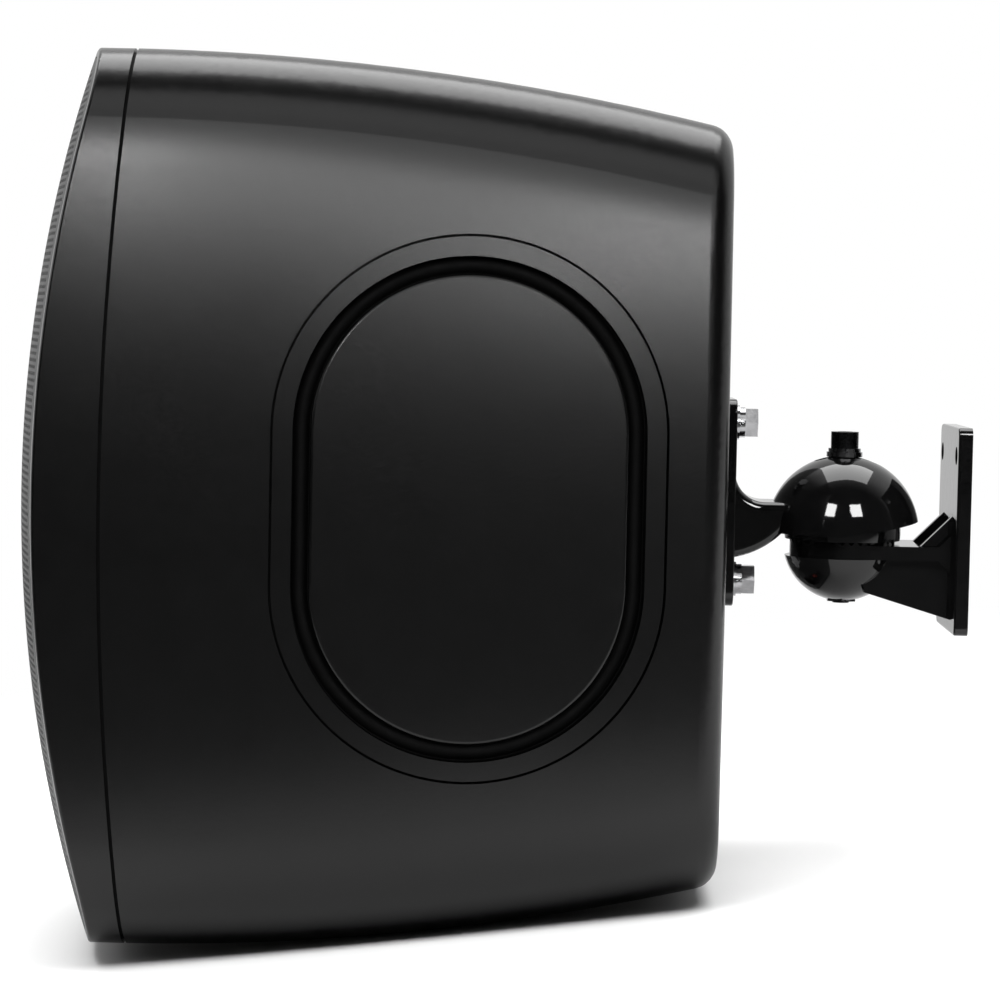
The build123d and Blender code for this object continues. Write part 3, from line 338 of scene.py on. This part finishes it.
def cad_rim():
    """The outer edge of the CAD grille's bowed face, in order: (x, z) in millimetres from the axis."""
    shape = bmesh.new()
    shape.from_mesh(nodes["grille"].data)
    bmesh.ops.remove_doubles(shape, verts=shape.verts, dist=0.001 * MM)
    place = {v: np.array(v.co) / MM - (0.0, 0.0, AXIS_Z) for v in shape.verts}
    on_front = {v for v, (x, y, z) in place.items() if abs(y - bow(x, z)) < ON_FRONT}
    beside = {v: [] for v in on_front}
    for edge in shape.edges:
        if len(edge.link_faces) == 2 and edge.calc_face_angle() > RIM_ANGLE:
            first, last = edge.verts
            if first in on_front and last in on_front:
                beside[first].append(last)
                beside[last].append(first)
    start = max(on_front, key=lambda v: place[v][2])
    loop = [start, beside[start][0]]
    while loop[-1] is not start:
        loop.append(next(v for v in beside[loop[-1]] if v is not loop[-2]))
    rim = np.array([place[v][[0, 2]] for v in loop[:-1]])
    shape.free()
    return rim


def hole_places(rim):
    """A hexagonal grid of hole centres inside the rim that keep clear of it."""
    following = np.roll(rim, -1, axis=0)
    along = following - rim
    row_step = HOLE_PITCH * math.sqrt(3) / 2
    rows = int(rim[:, 1].max() / row_step)
    columns = int(rim[:, 0].max() / HOLE_PITCH) + 1
    centres = []
    for row in range(-rows, rows + 1):
        z = row * row_step
        for column in range(-columns, columns + 1):
            x = (column + 0.5 * (row % 2)) * HOLE_PITCH
            offset = np.array((x, z)) - rim
            crossed = (rim[:, 1] > z) != (following[:, 1] > z)
            beyond = along[:, 0] * offset[:, 1] / np.where(crossed, along[:, 1], 1.0) > offset[:, 0]
            if np.count_nonzero(crossed & beyond) % 2 == 0:
                continue
            share = np.clip((offset * along).sum(1) / (along**2).sum(1), 0.0, 1.0)
            if np.hypot(*(offset - share[:, None] * along).T).min() > HOLE_RIM + HOLE_D / 2:
                centres.append((x, z))
    return centres


def perforated_grille():
    rim = cad_rim()
    count = len(rim)
    places = [tuple(p) for p in rim]
    loops = [list(range(count))]
    angles = [2 * math.pi * (i + 0.5) / HOLE_SIDES for i in range(HOLE_SIDES)]
    for x, z in hole_places(rim):
        start = len(places)
        places += [(x + HOLE_D / 2 * math.cos(a), z + HOLE_D / 2 * math.sin(a)) for a in angles]
        loops.append(list(range(start, start + HOLE_SIDES)))
    edges = [(loop[i - 1], loop[i]) for loop in loops for i in range(len(loop))]
    loop_of = np.zeros(len(places), int)
    for n, loop in enumerate(loops):
        loop_of[loop] = n
    triangles = geometry.delaunay_2d_cdt([Vector(p) for p in places], edges, [], 1, 1e-5)[2]
    faces = [tuple(t) for t in triangles if not loop_of[t[0]] == loop_of[t[1]] == loop_of[t[2]] > 0]

    flat = np.array(places)
    total = len(flat)
    depth = np.full(total, GRILLE_T)
    depth[:count] = SKIRT_DEPTH
    front = np.column_stack([flat[:, 0], bow(flat[:, 0], flat[:, 1]), flat[:, 1] + AXIS_Z])
    behind = front + np.column_stack([np.zeros(total), depth, np.zeros(total)])
    for loop in loops:
        faces += [(a, a + total, b + total, b) for a, b in zip(loop, loop[1:] + loop[:1])]
    grille = make_mesh("perforated_grille", np.vstack([front, behind]) * MM, faces)
    outward = bmesh.new()
    outward.from_mesh(grille.data)
    bmesh.ops.recalc_face_normals(outward, faces=outward.faces)
    outward.to_mesh(grille.data)
    outward.free()
    grille.data.set_sharp_from_angle(angle=SHARP_ANGLE)
    grille.data.materials.append(MATERIALS["grille_paint"])
    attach(grille, "speaker")
    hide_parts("grille")


perforated_grille()


# Stage: a pale floor under the speaker's tapered underside
def floor_material():
    s = Shader("floor_white")
    s.colour(s.noise(3.0, detail=2.0), (0.86, 0.86, 0.86), (0.90, 0.90, 0.90))
    s.set(Roughness=0.6, Specular_IOR_Level=0.2)
    path = s.add("ShaderNodeLightPath").outputs
    away = s.add("ShaderNodeVectorMath", operation="DISTANCE")
    s.link(s.coords, away.inputs[0])
    away.inputs[1].default_value = FLOOR_TOUCH
    far = s.maths("MULTIPLY", s.fade(away.outputs["Value"], FLOOR_WHITE), path["Is Camera Ray"])
    # Painted shade: to glossy rays only, the lamp-lit floor is mixed towards black, more so towards the
    # camera's side
    painted_shade = s.maths("MULTIPLY", s.fade(s.parts(s.coords)["X"], FLOOR_PAINTED_SHADE), path["Is Glossy Ray"])
    white = s.add("ShaderNodeEmission")
    black = s.add("ShaderNodeEmission")
    black.inputs["Strength"].default_value = 0.0
    surface = s.mixed(far, s.bsdf.outputs[0], white.outputs[0])
    surface = s.mixed(painted_shade, surface, black.outputs[0])
    s.link(surface, s.tree.nodes["Material Output"].inputs["Surface"])
    return s.material


def make_floor():
    points = [FLOOR_TOUCH]
    for ring in range(1, FLOOR_RINGS + 1):
        radius = FLOOR_RADIUS * (ring / FLOOR_RINGS) ** FLOOR_WIDENING
        for n in range(FLOOR_AROUND):
            a = 2 * math.pi * n / FLOOR_AROUND
            y = radius * math.sin(a)
            offset = (radius * math.cos(a), y * math.cos(FLOOR_SLOPE), y * math.sin(FLOOR_SLOPE))
            points.append(FLOOR_TOUCH + Vector(offset))
    faces = [(0, 1 + n, 1 + (n + 1) % FLOOR_AROUND) for n in range(FLOOR_AROUND)]
    for ring in range(FLOOR_RINGS - 1):
        first = 1 + ring * FLOOR_AROUND
        for n in range(FLOOR_AROUND):
            a, b = first + n, first + (n + 1) % FLOOR_AROUND
            faces.append((a, a + FLOOR_AROUND, b + FLOOR_AROUND, b))
    floor = make_mesh("floor", points, faces)
    floor.data.materials.append(floor_material())
    return floor


floor = make_floor()


# Light
def softbox(name, place, target, width, height, radiance, only=(), never=(), roll=0.0):
    """A lamp that faces its target. It lights only some objects, or never some."""
    lamp = bpy.data.lights.new(name, "AREA")
    lamp.shape = "RECTANGLE"
    lamp.size = width
    lamp.size_y = height
    lamp.energy = radiance * math.pi * width * height
    obj = bpy.data.objects.new(name, lamp)
    facing = (Vector(target) - Vector(place)).to_track_quat("-Z", "Y").to_matrix().to_4x4()
    obj.matrix_world = Matrix.Translation(place) @ facing @ Matrix.Rotation(math.radians(roll), 4, "Z")
    scene.collection.objects.link(obj)
    if only or never:
        lit = bpy.data.collections.new(name + "_lit")
        for piece in only or never:
            lit.objects.link(piece)
        for member in lit.collection_objects:
            member.light_linking.link_state = "INCLUDE" if only else "EXCLUDE"
        obj.light_linking.receiver_collection = lit


def make_world():
    """White to the camera. To everything else, dark on the camera's side and light on the far side."""
    world = bpy.data.worlds.new("studio")
    scene.world = world
    world.use_nodes = True
    tree = world.node_tree
    background = tree.nodes["Background"]
    coords = tree.nodes.new("ShaderNodeTexCoord")
    direction = tree.nodes.new("ShaderNodeSeparateXYZ")
    behind = tree.nodes.new("ShaderNodeMapRange")
    behind.interpolation_type = "SMOOTHSTEP"
    for key, value in zip(("From Min", "From Max", "To Min", "To Max"), WORLD_LIGHT):
        behind.inputs[key].default_value = value
    path = tree.nodes.new("ShaderNodeLightPath")
    level = tree.nodes.new("ShaderNodeMix")
    level.inputs["B"].default_value = WORLD_TO_CAMERA
    tree.links.new(coords.outputs["Generated"], direction.inputs["Vector"])
    tree.links.new(direction.outputs["X"], behind.inputs["Value"])
    tree.links.new(path.outputs["Is Camera Ray"], level.inputs["Factor"])
    tree.links.new(behind.outputs["Result"], level.inputs["A"])
    tree.links.new(level.outputs["Result"], background.inputs["Strength"])
    background.inputs["Color"].default_value = (1.0, 1.0, 1.0, 1.0)


def make_lamps():
    bracket = [nodes[name] for name in ("speaker_arm", "wall_bracket", "clamp_screw")]
    unlit = (floor, *bracket)
    for name, y, z, width, height, radiance in STRIPS:
        softbox(name, (STRIP_X, y, z), (0.0, y, z), width, height, radiance, never=unlit, roll=STRIP_ROLL)
    softbox("fill_low", (1.45, -0.15, 0.75), (0.0, -0.15, 0.75), 2.2, 0.42, 1.3, never=unlit)
    softbox("fill_high", (1.1, -0.15, 1.25), (0.05, -0.15, 0.1), 2.2, 0.7, 1.0, never=unlit)
    softbox("top", (-0.5, -0.2, 1.6), (-0.1, -0.2, 0.0), 2.0, 1.2, 4.0)
    softbox("front", (0.2, -1.8, 0.5), (0.0, -0.3, 0.0), 0.9, 0.6, 1.6)
    softbox("floor_lamp", (0.6, -0.2, 1.4), (0.05, -0.2, -0.15), 1.8, 1.0, 7.0, only=(floor,))
    for name, place in WINDOWS:
        softbox(name, place, BALL, *WINDOW_SIZE, WINDOW_RADIANCE, only=bracket)


def make_camera():
    data = bpy.data.cameras.new("camera")
    data.sensor_width = CAMERA_SENSOR
    data.lens = CAMERA_LENS
    data.clip_end = CAMERA_REACH
    camera = bpy.data.objects.new("camera", data)
    level = math.cos(CAMERA_PITCH)
    ahead = Vector((-level * math.cos(CAMERA_YAW), -level * math.sin(CAMERA_YAW), -math.sin(CAMERA_PITCH)))
    facing = ahead.to_track_quat("-Z", "Y").to_matrix().to_4x4()
    rolled = Matrix.Rotation(CAMERA_ROLL, 4, "Z")
    camera.matrix_world = Matrix.Translation(CAMERA_PLACE) @ facing @ rolled
    scene.collection.objects.link(camera)
    scene.camera = camera


make_world()
make_lamps()
make_camera()
scene.view_settings.view_transform = "Standard"
